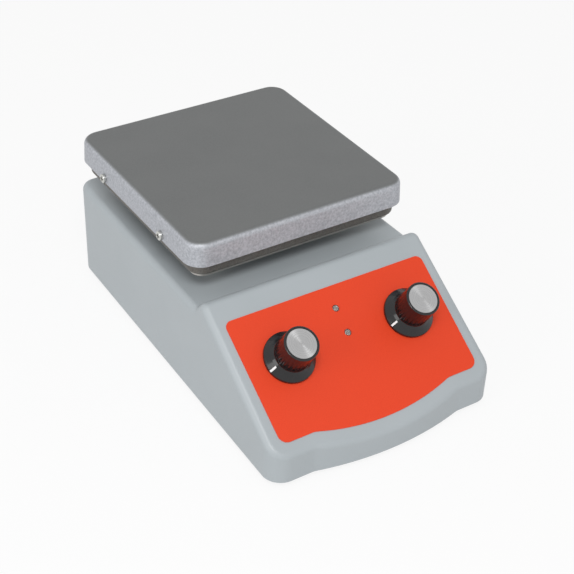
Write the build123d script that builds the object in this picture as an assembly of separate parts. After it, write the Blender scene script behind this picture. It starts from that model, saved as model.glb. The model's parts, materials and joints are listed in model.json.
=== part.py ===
from build123d import *
import os
from math import atan2, cos, degrees, radians, sin, sqrt

# Magnetic stirrer hot plate. Millimetres, X to the right, Y to the back, Z up.
# The origin is the middle of the bounding box, on the surface the feet stand on.

os.makedirs("parts", exist_ok=True)

# Casing in plan
casing_rear_width = 118.0
casing_front_width = 125.8
casing_depth = 203.4
front_bow = 5.4
front_bow_width = 82.0
front_bow_blend = 10.0
front_corner_radius = 9.5
rear_corner_radius = 8.0

# Casing in side view
casing_height = 52.0
casing_wall = 2.8
front_wall_height = 14.85
panel_slope = 33.4
ridge_clearance = 2.2
ridge_back_angle = 50.0
ridge_radius = 4.2
ridge_root_radius = 3.0
top_edge_radius = 3.3

# Feet and base cover
foot_height = 3.5
foot_radius = 7.0
foot_edge_radius = 1.0
foot_side_inset = 12.0
foot_end_inset = 14.0
foot_screw_recess = 1.6
cover_thickness = 1.2
cover_recess = 0.8
cover_gap = 0.3
post_radius = 4.5
post_web = 2.0
mid_post_from_rear = 120.0
mid_post_inset = 5.0
base_vent_length = 44.0
base_vent_width = 3.0
base_vent_pitch = 7.0
base_vent_count = 9

# Heating head
plate_from_rear = 67.0
plate_size = 120.0
plate_height = 12.35
plate_flare = 0.6
plate_corner_radius = 9.0
plate_edge_radius = 3.0
plate_web = 6.0
skirt_wall = 2.7
pan_gap = 0.2
pan_wall = 1.0
pan_drop = 6.85
pan_corner_radius = 8.0
pan_edge_radius = 1.6
pan_rise = 4.6
shield_thickness = 2.0
shield_inset = 1.9
shield_edge_radius = 0.9
air_gap = 10.0
side_screw_spacing = 59.5
side_screw_height = 2.4

# Heating element, pressed up against the plate
mica_size = 92.0
mica_thickness = 0.5
foil_thickness = 0.4
foil_width = 3.2
foil_pitch = 6.4
foil_margin = 5.0
clamp_size = 106.0
clamp_thickness = 1.5
clamp_corner_radius = 5.0
clamp_screw_spacing = 98.0
clamp_screw_length = 6.0
pad_gap = 0.3
cutout_offset_x = 22.0
cutout_offset_y = 12.0
cutout_radius = 8.0
cutout_cap_height = 3.0
cutout_body_height = 3.6
cutout_body_radius = 6.6
cutout_tab_length = 4.0

# Stand-offs between deck and head, and the sleeve the heater's leads go through
standoff_spacing = 70.0
standoff_radius = 5.0
nut_width = 7.0
nut_height = 3.2
lead_sleeve_offset = 44.0
lead_sleeve_radius = 5.0
lead_sleeve_bore = 3.2
lead_sleeve_tail = 3.0

# Control panel, measured up the slope from its front edge
overlay_thickness = 0.4
overlay_width = 111.0
overlay_front_margin = 6.4
overlay_length = 61.6
overlay_bow = 5.9
overlay_bow_width = 75.6
overlay_top_corner = 3.5
overlay_bottom_corner = 4.5
knob_spacing = 67.6
knob_row = 42.2
led_upper_row = 56.8
led_lower_row = 43.9

# Indicator lamps
led_radius = 1.5
led_flange_radius = 1.9
led_flange_height = 1.0
led_length = 5.3
led_stand_out = 1.5
led_lead_size = 0.5
led_lead_pitch = 2.54

# Potentiometers
pot_radius = 8.0
pot_thickness = 8.0
pot_bushing_radius = 3.5
pot_bushing_length = 6.4
pot_shaft_radius = 3.0
pot_shaft_depth = 6.0
pot_nut_width = 10.0
pot_nut_height = 2.0
pot_washer_radius = 6.0
pot_washer_thickness = 0.5
pot_tab_width = 1.2
pot_tab_pitch = 5.0

# Knobs, measured from their underside
knob_gap = 0.6
knob_height = 17.9
knob_skirt_radius = 12.6
knob_skirt_rim = 1.2
knob_shoulder_radius = 9.9
knob_shoulder_height = 3.4
knob_grip_radius = 8.75
knob_grip_draft = 0.3
knob_grip_start = 4.6
knob_flutes = 26
knob_flute_radius = 0.9
knob_flute_depth = 0.35
knob_top_round = 0.4
knob_cap_radius = 7.35
knob_cap_thickness = 1.0
knob_cap_recess = 0.15
knob_cap_gap = 0.05
knob_recess_radius = 7.2
knob_recess_depth = 3.0
knob_shaft_end = 12.5
knob_flat_depth = 1.5
knob_screw_height = 7.4
knob_screw_radius = 1.5
pointer_width = 1.0
pointer_inner_radius = 9.9
pointer_depth = 0.5
pointer_off_angle = 75.0

# Control board under the panel
control_board_width = 98.0
control_board_length = 38.0
control_board_low_edge = 24.0
control_board_gap = 0.4
board_thickness = 1.6
board_post_radius = 3.5
board_post_inset = 4.5
chip_width = 6.4
chip_length = 9.8
chip_height = 3.3
connector_width = 17.5
connector_depth = 5.8
connector_height = 7.0

# Motor and magnet rotor
motor_radius = 19.0
motor_length = 33.0
motor_wall = 1.4
motor_shaft_radius = 2.0
motor_bush_radius = 4.0
motor_bush_length = 4.0
motor_cap_thickness = 3.0
motor_screw_spacing = 25.0
field_magnet_thickness = 4.0
field_magnet_length = 20.0
field_magnet_angle = 130.0
armature_gap = 0.6
armature_length = 18.0
armature_slots = 5
armature_slot_width = 4.0
armature_hub_radius = 5.0
bracket_length = 96.0
bracket_width = 44.0
bracket_thickness = 1.5
bracket_flange = 6.0
bracket_bend_radius = 1.0
bracket_drop = 6.5
bracket_screw_spacing_x = 86.0
bracket_screw_spacing_y = 26.0
boss_radius = 4.0
rotor_opening_radius = 35.0
rotor_radius = 29.0
rotor_thickness = 2.5
rotor_top_gap = 1.6
rotor_hub_radius = 7.0
rotor_hub_length = 6.2
rotor_lightening_radius = 5.0
drive_magnet_radius = 8.0
drive_magnet_height = 8.0
drive_magnet_spacing = 40.0
drive_magnet_cup = 0.8
hub_screw_radius = 1.5
hub_screw_drop = 3.2

# Power board on the base cover
power_board_width = 30.0
power_board_length = 92.0
power_board_from_centre = 39.0
power_board_rise = 4.0
spacer_radius = 3.0
spacer_inset = 4.0
transformer_width = 24.0
transformer_length = 30.0
transformer_height = 20.0
transformer_window = 5.0
transformer_coil_proud = 3.0
heat_sink_length = 24.0
heat_sink_height = 20.0
heat_sink_base = 2.0
heat_sink_fin = 1.2
heat_sink_fin_reach = 9.0
heat_sink_fins = 5
capacitor_radius = 5.0
capacitor_height = 14.0
capacitor_pitch = 12.0

# Mains inlet on the rear wall
inlet_height = 27.0
inlet_flange_width = 50.0
inlet_flange_height = 31.0
inlet_flange_thickness = 2.5
inlet_flange_corner = 5.0
inlet_screw_spacing = 40.0
inlet_body_width = 27.6
inlet_body_height = 28.0
inlet_body_depth = 20.0
inlet_wall_gap = 0.2
socket_width = 24.6
socket_height = 16.6
socket_chamfer = 5.0
socket_depth = 16.0
socket_rise = 4.6
blade_width = 2.0
blade_height = 4.0
blade_length = 14.0
blade_spacing = 14.0
blade_offset = 4.0
blade_tail_length = 8.0
blade_tail_width = 4.8
blade_tail_thickness = 0.8
blade_tip_chamfer = 0.6

# Fuse drawer below the socket
drawer_width = 24.0
drawer_height = 6.6
drawer_drop = 9.4
drawer_depth = 17.0
drawer_gap = 0.3
drawer_lip = 0.8
drawer_face = 3.0
drawer_wall = 1.0
drawer_notch_radius = 2.2
fuse_length = 20.0
fuse_radius = 2.5
fuse_glass_radius = 2.2
fuse_cap_length = 5.0

# Screws: shank radius, head radius and head height
small_screw = (1.5, 2.3, 1.5)
board_screw = (1.5, 2.8, 1.9)
large_screw = (2.0, 3.5, 2.4)
screw_recess_width = 0.7
screw_recess_share = 0.62
screw_recess_depth = 0.9
small_round = 0.5
board_screw_length = 6.0
side_screw_length = 5.0
motor_screw_length = 5.0
foot_screw_length = 13.0
base_screw_length = 9.0
inlet_screw_length = 8.0

# Clearances
screw_gap = 0.25
thread_gap = 0.05
seat_gap = 0.02
bearing_gap = 0.03
cut_over = 1.0

# Heights
base_z = foot_height
deck_z = base_z + casing_height
shield_z = deck_z + air_gap
pan_z = shield_z + shield_thickness
plate_z = pan_z + pan_drop
plate_top_z = plate_z + plate_height
plate_under_z = plate_top_z - plate_web
cover_z = base_z + cover_recess
cover_top_z = cover_z + cover_thickness
bracket_top_z = deck_z - casing_wall - bracket_drop
motor_top_z = bracket_top_z - bracket_thickness
motor_bottom_z = motor_top_z - motor_length

# Positions along the length
rear_stand_out = inlet_flange_thickness + drawer_lip
rear_y = (casing_depth + front_bow - rear_stand_out) / 2
front_y = rear_y - casing_depth
front_tip_y = front_y - front_bow
plate_y = rear_y - plate_from_rear
plate_half = plate_size / 2 + plate_flare
ridge_foot_y = plate_y - plate_half - ridge_clearance
skirt_half = plate_half - skirt_wall
pan_half = skirt_half - pan_gap

clamp_stack = 2 * mica_thickness + foil_thickness + clamp_thickness

# Places that many pieces share
head_place = Pos(0, plate_y, 0)
slope = radians(panel_slope)
panel_normal = Vector(0, -sin(slope), cos(slope))
panel_origin = Vector(0, front_y, base_z + front_wall_height)
panel_plane = Plane(origin=panel_origin, x_dir=(1, 0, 0), z_dir=panel_normal)
inlet_z = base_z + inlet_height
rear_plane = Plane(origin=(0, rear_y, inlet_z), x_dir=(-1, 0, 0), z_dir=(0, 1, 0))
knob_base = overlay_thickness + knob_gap
board_depth = casing_wall + pot_thickness + control_board_gap

STAND = (Align.CENTER, Align.CENTER, Align.MIN)


# Basic forms, each standing on z = 0 of its own frame

def rod(radius, height):
    return Cylinder(radius, height, align=STAND)


def slab(width, length, height):
    return Box(width, length, height, align=STAND)


def rounded_slab(width, length, height, radius):
    return extrude(RectangleRounded(width, length, radius), amount=height)


def drill(radius, depth):
    """A bore that runs past both faces of what stands on z = 0."""
    return Pos(0, 0, -cut_over) * rod(radius, depth + 2 * cut_over)


def hexagon_rod(width, height):
    return extrude(RegularPolygon(width / 2, 6, major_radius=False), amount=height)


def corners(spacing_x, spacing_y):
    """Four places at the corners of a rectangle."""
    return [Pos(x, y, 0) for x in (-spacing_x / 2, spacing_x / 2) for y in (-spacing_y / 2, spacing_y / 2)]


def group(solids):
    """Separate solids of one kind, kept apart in one node."""
    return Compound(children=list(solids))


def union(shapes):
    joined = shapes[0]
    for shape in shapes[1:]:
        joined += shape
    return joined


def corner_near(face, x, y):
    """The corner of a flat face that lies nearest a point."""
    return min(face.vertices(), key=lambda v: (v.X - x) ** 2 + (v.Y - y) ** 2)


def screw(sizes, length):
    """A pan-head screw with a cross recess: its shank runs down from z = 0."""
    shank_radius, head_radius, head_height = sizes
    head = rod(head_radius, head_height)
    head = fillet(head.edges().group_by(Axis.Z)[-1], small_round)
    bar = slab(2 * head_radius * screw_recess_share, screw_recess_width, screw_recess_depth + cut_over)
    cross = Pos(0, 0, head_height - screw_recess_depth) * (bar + Rot(0, 0, 90) * bar)
    return head + Pos(0, 0, -length) * rod(shank_radius, length) - cross


def half_width(y):
    """Half the casing's width at a place along its length."""
    along = (rear_y - y) / casing_depth
    return (casing_rear_width + along * (casing_front_width - casing_rear_width)) / 2


# Places of the screw posts that carry the base cover

foot_places = [
    (side * (half_width(y) - foot_side_inset), y)
    for y in (rear_y - foot_end_inset, front_y + foot_end_inset)
    for side in (-1, 1)
]
mid_post_y = rear_y - mid_post_from_rear
mid_post_x = half_width(mid_post_y) - casing_wall - mid_post_inset
mid_places = [(side * mid_post_x, mid_post_y) for side in (-1, 1)]
foot_screw_seat = foot_screw_recess + board_screw[2]


def board_post_places():
    """Where the control board's posts stand on the panel."""
    low = control_board_low_edge + board_post_inset
    high = control_board_low_edge + control_board_length - board_post_inset
    across = control_board_width / 2 - board_post_inset
    return [(side * across, row) for row in (low, high) for side in (-1, 1)]


# Casing

def casing_plan():
    """The outline seen from above: tapered sides, round corners and a bowed front."""
    rear = casing_rear_width / 2
    front = casing_front_width / 2
    bow = front_bow_width / 2
    left = [(-bow, front_y), (-front, front_y), (-rear, rear_y)]
    right = [(rear, rear_y), (front, front_y), (bow, front_y)]
    sides = Polyline(*left, *right)
    face = make_face(sides + ThreePointArc((bow, front_y), (0, front_tip_y), (-bow, front_y)))
    for side in (-1, 1):
        face = fillet(corner_near(face, side * rear, rear_y), rear_corner_radius)
        face = fillet(corner_near(face, side * front, front_y), front_corner_radius)
        face = fillet(corner_near(face, side * bow, front_y), front_bow_blend)
    return face


def casing_side(inset):
    """The form seen from the side: deck, raised ridge and sloping panel, less an even inset."""
    back = radians(ridge_back_angle)
    back_reach = ridge_foot_y * sin(back) + deck_z * cos(back) - inset
    panel_reach = panel_origin.Z * cos(slope) - panel_origin.Y * sin(slope) - inset
    deck_level = deck_z - inset
    foot_y = (back_reach - deck_level * cos(back)) / sin(back)
    crest_z = (back_reach * sin(slope) + panel_reach * sin(back)) / sin(slope + back)
    crest_y = (back_reach - crest_z * cos(back)) / sin(back)
    front = front_tip_y - cut_over
    rear = rear_y + cut_over
    floor = base_z - cut_over
    front_z = (panel_reach + front * sin(slope)) / cos(slope)
    outline = Polyline(
        (rear, floor),
        (rear, deck_level),
        (foot_y, deck_level),
        (crest_y, crest_z),
        (front, front_z),
        (front, floor),
        close=True,
    )
    face = make_face(outline)
    face = fillet(corner_near(face, foot_y, deck_level), ridge_root_radius + inset)
    face = fillet(corner_near(face, crest_y, crest_z), max(ridge_radius - inset, small_round))
    return extrude(Plane.YZ * face, amount=casing_front_width, both=True)


def casing_block():
    """The casing as a solid, with its top edges rounded."""
    block = extrude(Pos(0, 0, base_z) * casing_plan(), amount=2 * casing_height) & casing_side(0)
    top_edges = []
    for face in block.faces():
        if abs(face.normal_at().Z) > 0.01:
            continue
        for edge in face.edges():
            upright = (edge @ 1 - edge @ 0).cross(Vector(0, 0, 1)).length < 0.01
            if edge.center().Z > base_z + 0.01 and not upright:
                top_edges.append(edge)
    return fillet(top_edges, top_edge_radius)


def casing_hollow():
    plan = offset(casing_plan(), amount=-casing_wall)
    return extrude(Pos(0, 0, base_z - cut_over) * plan, amount=2 * casing_height) & casing_side(casing_wall)


def casing_posts():
    """Screw posts inside the casing, cut to its outer form by the caller."""
    tall = 2 * casing_height
    posts = [Pos(x, y, cover_top_z) * rod(post_radius, tall) for x, y in foot_places + mid_places]
    for x, y in foot_places + mid_places:
        side = 1 if x > 0 else -1
        reach = half_width(y) - abs(x)
        web = Box(reach, post_web, tall, align=(Align.MIN, Align.CENTER, Align.MIN))
        posts.append(Pos(x, y, cover_top_z) * Rot(0, 0, 0 if side > 0 else 180) * web)
    for place in corners(bracket_screw_spacing_x, bracket_screw_spacing_y):
        boss = rod(boss_radius, bracket_drop + casing_wall)
        posts.append(head_place * place * Pos(0, 0, bracket_top_z) * boss)
    for x, row in board_post_places():
        posts.append(panel_plane * Pos(x, row, -board_depth) * rod(board_post_radius, board_depth))
    return union(posts)


def casing_holes():
    """Everything bored or cut through the casing."""
    thread = small_screw[0] + thread_gap
    deck = head_place * Pos(0, 0, deck_z - casing_wall)
    holes = [deck * drill(rotor_opening_radius, casing_wall)]
    holes.append(deck * Pos(0, lead_sleeve_offset, 0) * drill(lead_sleeve_radius + screw_gap, casing_wall))
    for place in corners(standoff_spacing, standoff_spacing):
        holes.append(deck * place * drill(large_screw[0] + screw_gap, casing_wall))
    for place in corners(bracket_screw_spacing_x, bracket_screw_spacing_y):
        bore = drill(thread, motor_screw_length - bracket_thickness)
        holes.append(head_place * place * Pos(0, 0, bracket_top_z) * bore)
    foot_bore = drill(thread, foot_screw_seat + foot_screw_length - cover_top_z)
    holes += [Pos(x, y, cover_top_z) * foot_bore for x, y in foot_places]
    mid_bore = drill(thread, base_screw_length - cover_thickness)
    holes += [Pos(x, y, cover_top_z) * mid_bore for x, y in mid_places]
    board_bore = drill(thread, board_screw_length - board_thickness)
    holes += [panel_plane * Pos(x, row, -board_depth) * board_bore for x, row in board_post_places()]
    under_panel = panel_plane * Pos(0, 0, -casing_wall)
    for side in (-1, 1):
        hole = drill(pot_bushing_radius + screw_gap, casing_wall)
        holes.append(under_panel * Pos(side * knob_spacing / 2, knob_row, 0) * hole)
    for row in (led_lower_row, led_upper_row):
        holes.append(under_panel * Pos(0, row, 0) * drill(led_radius + screw_gap, casing_wall))
    behind_wall = rear_plane * Pos(0, 0, -casing_wall)
    window_width = inlet_body_width + 2 * inlet_wall_gap
    window_height = inlet_body_height + 2 * inlet_wall_gap
    window = slab(window_width, window_height, casing_wall + 2 * cut_over)
    holes.append(behind_wall * Pos(0, 0, -cut_over) * window)
    for side in (-1, 1):
        holes.append(behind_wall * Pos(side * inlet_screw_spacing / 2, 0, 0) * drill(thread, casing_wall))
    return holes


def casing_shell():
    block = casing_block()
    shell = block - casing_hollow() + (casing_posts() & block)
    for hole in casing_holes():
        shell -= hole
    return shell


def base_cover():
    """Sheet that closes the casing from below, with vent slots and screw holes."""
    plan = offset(casing_plan(), amount=-casing_wall - cover_gap)
    cover = extrude(Pos(0, 0, cover_z) * plan, amount=cover_thickness)
    hole = Pos(0, 0, cover_z) * drill(small_screw[0] + screw_gap, cover_thickness)
    for x, y in foot_places + mid_places:
        cover -= Pos(x, y, 0) * hole
    for place in power_spacer_places():
        cover -= place * hole
    first = -(base_vent_count - 1) * base_vent_pitch / 2
    slot = extrude(SlotOverall(base_vent_length, base_vent_width), amount=cover_thickness + 2 * cut_over)
    for step in range(base_vent_count):
        row = plate_y + first + step * base_vent_pitch
        cover -= Pos(0, row, cover_z - cut_over) * slot
    return cover


def rubber_feet():
    foot = rod(foot_radius, cover_z)
    foot = fillet(foot.edges().group_by(Axis.Z)[0], foot_edge_radius)
    foot -= Pos(0, 0, -cut_over) * rod(board_screw[1] + screw_gap, foot_screw_seat + cut_over)
    foot -= drill(small_screw[0] + screw_gap, cover_z)
    return group(Pos(x, y, 0) * foot for x, y in foot_places)


def foot_screws():
    fastener = Rot(180, 0, 0) * screw(board_screw, foot_screw_length)
    return group(Pos(x, y, foot_screw_seat) * fastener for x, y in foot_places)


def base_screws():
    fastener = Rot(180, 0, 0) * screw(board_screw, base_screw_length)
    return group(Pos(x, y, cover_z) * fastener for x, y in mid_places)


# Heating head

def top_plate():
    """Cast plate: a thick web with a skirt round its edge, open below."""
    outline = RectangleRounded(2 * plate_half, 2 * plate_half, plate_corner_radius + plate_flare)
    draft = degrees(atan2(plate_flare, plate_height))
    plate = extrude(outline, amount=plate_height, taper=draft)
    plate = fillet(plate.faces().sort_by(Axis.Z)[-1].edges(), plate_edge_radius)
    depth = plate_height - plate_web + cut_over
    hollow = rounded_slab(2 * skirt_half, 2 * skirt_half, depth, pan_corner_radius + pan_gap)
    plate -= Pos(0, 0, -cut_over) * hollow
    for place in corners(clamp_screw_spacing, clamp_screw_spacing):
        bore = rod(small_screw[0] + thread_gap, clamp_screw_length - clamp_stack + small_round)
        plate -= place * Pos(0, 0, plate_height - plate_web - seat_gap) * bore
    for place in side_screw_places():
        plate -= place * Pos(0, 0, -skirt_wall) * drill(small_screw[0] + screw_gap, skirt_wall)
    return head_place * Pos(0, 0, plate_z) * plate


def side_screw_places():
    """Frames on the plate's left and right sides, z outwards, relative to the plate's foot."""
    places = []
    for side in (-1, 1):
        for y in (-side_screw_spacing / 2, side_screw_spacing / 2):
            seat = (side * plate_half, y, side_screw_height)
            places.append(Location(Plane(origin=seat, x_dir=(0, side, 0), z_dir=(side, 0, 0))))
    return places


def plate_side_screws():
    fastener = screw(small_screw, side_screw_length)
    return group(head_place * Pos(0, 0, plate_z) * place * fastener for place in side_screw_places())


def heater_pan():
    """Sheet pan that closes the plate from below; its wall goes up inside the skirt."""
    tall = pan_drop + pan_rise
    pan = rounded_slab(2 * pan_half, 2 * pan_half, tall, pan_corner_radius)
    pan = fillet(pan.faces().sort_by(Axis.Z)[0].edges(), pan_edge_radius)
    inner = 2 * (pan_half - pan_wall)
    pan -= Pos(0, 0, pan_wall) * rounded_slab(inner, inner, tall, pan_corner_radius - pan_wall)
    for place in side_screw_places():
        bore = drill(small_screw[0] + thread_gap, skirt_wall + pan_wall)
        pan -= Pos(0, 0, pan_drop) * place * Pos(0, 0, -skirt_wall - pan_wall) * bore
    for place in corners(standoff_spacing, standoff_spacing):
        pan -= place * drill(large_screw[0] + screw_gap, pan_wall)
    pan -= Pos(0, lead_sleeve_offset, 0) * drill(lead_sleeve_radius + screw_gap, pan_wall)
    return head_place * Pos(0, 0, pan_z) * pan


def shield_plate():
    """Plate under the pan that keeps heat off the deck."""
    size = 2 * (pan_half - shield_inset)
    shield = rounded_slab(size, size, shield_thickness, pan_corner_radius - shield_inset)
    shield = fillet(shield.faces().sort_by(Axis.Z)[0].edges(), shield_edge_radius)
    for place in corners(standoff_spacing, standoff_spacing):
        shield -= place * drill(large_screw[0] + screw_gap, shield_thickness)
    shield -= Pos(0, lead_sleeve_offset, 0) * drill(lead_sleeve_radius + screw_gap, shield_thickness)
    return head_place * Pos(0, 0, shield_z) * shield


foil_z = plate_under_z - mica_thickness - foil_thickness
lower_mica_z = foil_z - mica_thickness
clamp_z = plate_under_z - clamp_stack
pan_floor_z = pan_z + pan_wall


def mica_sheets():
    sheet = slab(mica_size, mica_size, mica_thickness)
    return group(head_place * Pos(0, 0, z) * sheet for z in (lower_mica_z, plate_under_z - mica_thickness))


def heater_foil():
    """Flat heating strip that runs to and fro between the mica sheets."""
    reach = mica_size / 2 - foil_margin
    strips = int((2 * reach - foil_width) / foil_pitch)
    first = -strips * foil_pitch / 2
    pieces = []
    for step in range(strips + 1):
        x = first + step * foil_pitch
        pieces.append(Pos(x, 0, 0) * slab(foil_width, 2 * reach, foil_thickness))
        if step < strips:
            end = reach - foil_width / 2 if step % 2 else foil_width / 2 - reach
            pieces.append(Pos(x + foil_pitch / 2, end, 0) * slab(foil_pitch, foil_width, foil_thickness))
    return head_place * Pos(0, 0, foil_z) * union(pieces)


def clamp_plate():
    """Steel sheet that presses the heating element against the plate."""
    plate = rounded_slab(clamp_size, clamp_size, clamp_thickness, clamp_corner_radius)
    for place in corners(clamp_screw_spacing, clamp_screw_spacing):
        plate -= place * drill(small_screw[0] + screw_gap, clamp_thickness)
    return head_place * Pos(0, 0, clamp_z) * plate


def clamp_screws():
    fastener = Rot(180, 0, 0) * screw(board_screw, clamp_screw_length)
    places = corners(clamp_screw_spacing, clamp_screw_spacing)
    return group(head_place * place * Pos(0, 0, clamp_z) * fastener for place in places)


def thermal_cutout():
    """Bimetal switch against the clamp plate: metal cap, moulded body and two tabs, as one piece."""
    body = rod(cutout_radius, cutout_cap_height)
    body += Pos(0, 0, -cutout_body_height) * rod(cutout_body_radius, cutout_body_height)
    for side in (-1, 1):
        tab = slab(cutout_tab_length, blade_tail_width, blade_tail_thickness)
        reach = cutout_body_radius + cutout_tab_length / 2 - cut_over
        body += Pos(side * reach, 0, -cutout_body_height) * tab
    top = clamp_z - cutout_cap_height
    return head_place * Pos(cutout_offset_x, cutout_offset_y, top) * body


def insulation_pad():
    """Ceramic fibre pad between the clamp plate and the pan, cut out round what stands in it."""
    size = 2 * (pan_half - pan_wall - pad_gap)
    tall = clamp_z - board_screw[2] - pad_gap - pan_floor_z
    pad = rounded_slab(size, size, tall, pan_corner_radius - pan_wall)
    for place in corners(standoff_spacing, standoff_spacing):
        pad -= place * drill(nut_width / 2 + small_round + pad_gap, tall)
    pad -= Pos(0, lead_sleeve_offset, 0) * drill(lead_sleeve_radius + pad_gap, tall)
    pocket_length = 2 * (cutout_radius + cutout_tab_length)
    pocket_width = 2 * (cutout_radius + pad_gap)
    pocket = rounded_slab(pocket_length, pocket_width, tall + 2 * cut_over, pad_gap)
    pad -= Pos(cutout_offset_x, cutout_offset_y, -cut_over) * pocket
    for place in side_screw_places():
        bore = rod(small_screw[0] + pad_gap, side_screw_length + cut_over)
        pad -= Pos(0, 0, plate_z - pan_floor_z) * place * Pos(0, 0, -side_screw_length - pad_gap) * bore
    return head_place * Pos(0, 0, pan_floor_z) * pad


def standoffs():
    spacer = rod(standoff_radius, air_gap) - drill(large_screw[0] + screw_gap, air_gap)
    places = corners(standoff_spacing, standoff_spacing)
    return group(head_place * place * Pos(0, 0, deck_z) * spacer for place in places)


standoff_grip = casing_wall + air_gap + shield_thickness + pan_wall


def standoff_screws():
    length = standoff_grip + nut_height + cut_over
    fastener = Rot(180, 0, 0) * screw(large_screw, length)
    places = corners(standoff_spacing, standoff_spacing)
    return group(head_place * place * Pos(0, 0, deck_z - casing_wall) * fastener for place in places)


def standoff_nuts():
    nut = hexagon_rod(nut_width, nut_height) - rod(large_screw[0] + thread_gap, nut_height)
    places = corners(standoff_spacing, standoff_spacing)
    return group(head_place * place * Pos(0, 0, pan_floor_z) * nut for place in places)


def lead_sleeve():
    """Ceramic sleeve that carries the heater's leads across the air gap."""
    low = deck_z - casing_wall - lead_sleeve_tail
    tall = pan_floor_z + lead_sleeve_tail - low
    sleeve = rod(lead_sleeve_radius, tall) - rod(lead_sleeve_bore, tall)
    collar = rod(lead_sleeve_radius + cut_over, cut_over) - rod(lead_sleeve_bore, cut_over)
    sleeve += Pos(0, 0, deck_z - low) * collar
    return head_place * Pos(0, lead_sleeve_offset, low) * sleeve


# Control panel

def overlay_outline():
    """The printed overlay: round corners and a bowed front edge like the casing's."""
    half = overlay_width / 2
    bow = overlay_bow_width / 2
    low = overlay_front_margin
    high = low + overlay_length
    sides = Polyline((-bow, low), (-half, low), (-half, high), (half, high), (half, low), (bow, low))
    face = make_face(sides + ThreePointArc((bow, low), (0, low - overlay_bow), (-bow, low)))
    for side in (-1, 1):
        face = fillet(corner_near(face, side * half, high), overlay_top_corner)
        face = fillet(corner_near(face, side * half, low), overlay_bottom_corner)
        face = fillet(corner_near(face, side * bow, low), front_bow_blend)
    return face


def panel_overlay():
    sheet = extrude(overlay_outline(), amount=overlay_thickness)
    for side in (-1, 1):
        hole = drill(pot_bushing_radius + screw_gap, overlay_thickness)
        sheet -= Pos(side * knob_spacing / 2, knob_row, 0) * hole
    for row in (led_lower_row, led_upper_row):
        sheet -= Pos(0, row, 0) * drill(led_radius + screw_gap, overlay_thickness)
    return panel_plane * sheet


def led(row):
    """Lamp with a domed clear body and two leads down to the control board."""
    flange_z = led_stand_out - led_length
    dome_z = led_stand_out - led_radius
    lens = Pos(0, 0, flange_z) * rod(led_radius, dome_z - flange_z)
    lens += Pos(0, 0, dome_z) * Sphere(led_radius)
    lens += Pos(0, 0, flange_z) * rod(led_flange_radius, led_flange_height)
    leads = [lens]
    for side in (-1, 1):
        lead = slab(led_lead_size, led_lead_size, board_depth + flange_z)
        leads.append(Pos(side * led_lead_pitch / 2, 0, -board_depth) * lead)
    return group(panel_plane * Pos(0, row, 0) * piece for piece in leads)


def control_board():
    board = slab(control_board_width, control_board_length, board_thickness)
    board = Pos(0, control_board_low_edge + control_board_length / 2, -board_depth - board_thickness) * board
    hole = drill(small_screw[0] + screw_gap, board_thickness)
    for x, row in board_post_places():
        board -= Pos(x, row, -board_depth - board_thickness) * hole
    return panel_plane * board


def board_screws():
    """Screws of the control board, from below, and of the power board, from above."""
    fastener = screw(board_screw, board_screw_length)
    upward = Rot(180, 0, 0) * fastener
    under = -board_depth - board_thickness
    screws = [panel_plane * Pos(x, row, under) * upward for x, row in board_post_places()]
    screws += [place * Pos(0, 0, power_top_z) * fastener for place in power_spacer_places()]
    return group(screws)


# Potentiometers and knobs

def knob_frame(side):
    """Frame on the panel's surface at a knob's axis, z outwards, x along the pointer at rest."""
    axis = Location(panel_plane) * Pos(side * knob_spacing / 2, knob_row, 0)
    return axis * Rot(0, 0, -90 - pointer_off_angle)


def potentiometers():
    bodies = []
    for side in (-1, 1):
        body = Pos(0, 0, -casing_wall - pot_thickness) * rod(pot_radius, pot_thickness)
        body += Pos(0, 0, -casing_wall) * rod(pot_bushing_radius, pot_bushing_length)
        depth = pot_shaft_depth + seat_gap
        bore = rod(pot_shaft_radius + bearing_gap, pot_bushing_length + depth + cut_over)
        body -= Pos(0, 0, -casing_wall - depth) * bore
        for step in (-1, 0, 1):
            tab = slab(pot_tab_width, pot_tab_width, control_board_gap)
            body += Pos(step * pot_tab_pitch, 0, -board_depth) * tab
        bodies.append(knob_frame(side) * body)
    return group(bodies)


def pot_nuts():
    """A washer and a nut on each potentiometer's bushing."""
    washer = rod(pot_washer_radius, pot_washer_thickness)
    washer -= drill(pot_bushing_radius + screw_gap, pot_washer_thickness)
    nut = hexagon_rod(pot_nut_width, pot_nut_height)
    nut -= drill(pot_bushing_radius + thread_gap, pot_nut_height)
    nut = Pos(0, 0, pot_washer_thickness) * nut
    lift = Pos(0, 0, overlay_thickness)
    return group(knob_frame(side) * lift * piece for side in (-1, 1) for piece in (washer, nut))


def knob_shaft():
    """Potentiometer shaft with a flat where the knob's screw bears."""
    low = -casing_wall - pot_shaft_depth
    high = knob_base + knob_shaft_end
    shaft = Pos(0, 0, low) * rod(pot_shaft_radius, high - low)
    flat_low = pot_bushing_length - casing_wall + knob_base
    flat = Box(2 * pot_shaft_radius, 2 * pot_shaft_radius, high, align=(Align.MAX, Align.CENTER, Align.MIN))
    return shaft - Pos(knob_flat_depth - pot_shaft_radius, 0, flat_low) * flat


def knob_form():
    """Turned form of a knob: wide skirt, shoulder and slightly tapered fluted grip."""
    grip_top = knob_grip_radius - knob_grip_draft
    outline = Polyline(
        (0, 0),
        (knob_skirt_radius, 0),
        (knob_skirt_radius, knob_skirt_rim),
        (knob_shoulder_radius, knob_shoulder_height),
        (knob_grip_radius, knob_grip_start),
        (grip_top, knob_height),
        (0, knob_height),
        close=True,
    )
    face = make_face(outline)
    face = fillet(corner_near(face, knob_skirt_radius, knob_skirt_rim), knob_top_round)
    face = fillet(corner_near(face, knob_shoulder_radius, knob_shoulder_height), knob_top_round)
    face = fillet(corner_near(face, knob_grip_radius, knob_grip_start), knob_top_round)
    face = fillet(corner_near(face, grip_top, knob_height), knob_top_round)
    return revolve(Plane.XZ * face, Axis.Z)


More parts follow.
